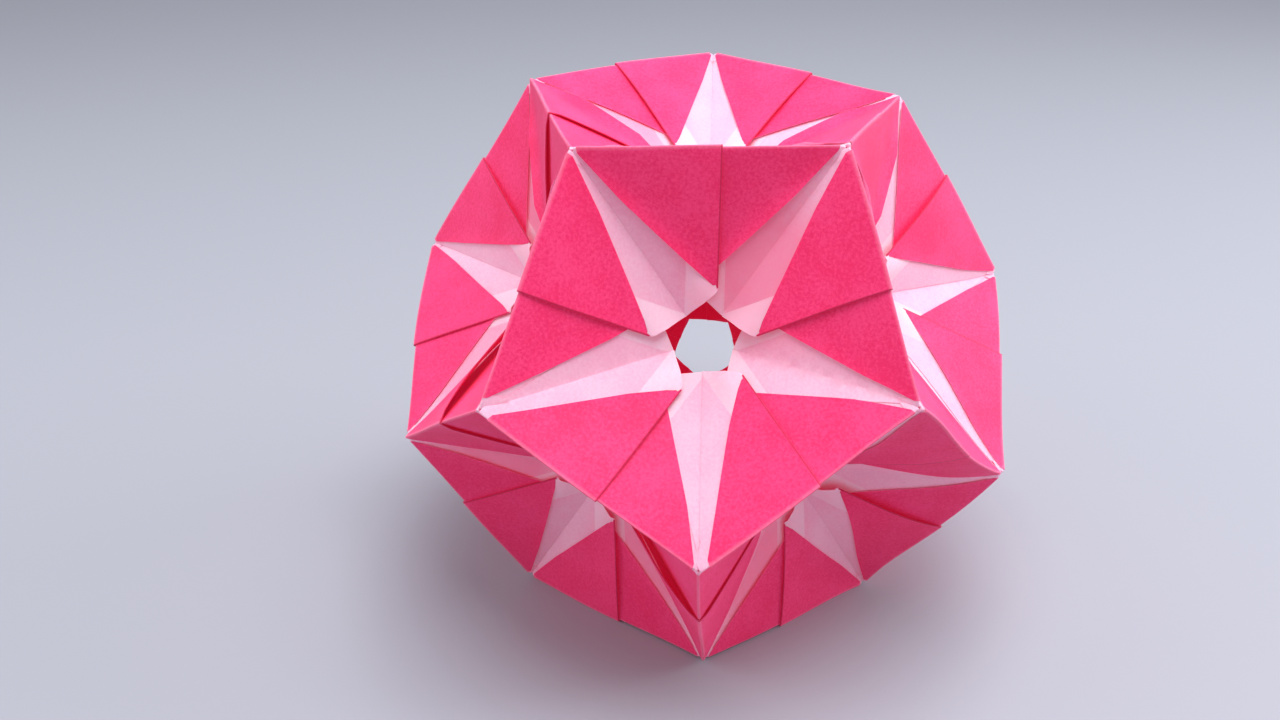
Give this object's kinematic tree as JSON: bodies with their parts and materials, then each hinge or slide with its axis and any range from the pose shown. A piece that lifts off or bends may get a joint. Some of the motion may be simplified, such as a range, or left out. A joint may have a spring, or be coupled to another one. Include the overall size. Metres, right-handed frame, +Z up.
{
  "type": "kusudama paper ball",
  "caption": "Ball of folded two-tone paper sheets hooked together along the edges of a dodecahedron, each five-sided face sunk to a star with a hole at its middle.",
  "frame": {"origin": "on the ground under the ball's centre, at the level of the five lowest ridges", "axes": "+Z up through the middles of the top and bottom faces, -Y towards the face that looks up at the viewer, +X to the viewer's right"},
  "size_m": [0.1354, 0.1412, 0.1152],
  "materials": {
    "duo_paper": "matte"
  },
  "bodies": {
    "root": {"crown_sheet_1": "duo_paper", "crown_sheet_2": "duo_paper", "crown_sheet_3": "duo_paper", "crown_sheet_4": "duo_paper", "crown_sheet_5": "duo_paper", "upper_sheet_1": "duo_paper", "upper_sheet_2": "duo_paper", "upper_sheet_3": "duo_paper", "upper_sheet_4": "duo_paper", "upper_sheet_5": "duo_paper", "left_waist_sheet_1": "duo_paper", "left_waist_sheet_2": "duo_paper", "left_waist_sheet_3": "duo_paper", "left_waist_sheet_4": "duo_paper", "left_waist_sheet_5": "duo_paper", "right_waist_sheet_1": "duo_paper", "right_waist_sheet_2": "duo_paper", "right_waist_sheet_3": "duo_paper", "right_waist_sheet_4": "duo_paper", "right_waist_sheet_5": "duo_paper", "lower_sheet_1": "duo_paper", "lower_sheet_2": "duo_paper", "lower_sheet_3": "duo_paper", "lower_sheet_4": "duo_paper", "lower_sheet_5": "duo_paper", "base_sheet_1": "duo_paper", "base_sheet_2": "duo_paper", "base_sheet_3": "duo_paper", "base_sheet_4": "duo_paper", "base_sheet_5": "duo_paper"}
  },
  "joints": []
}
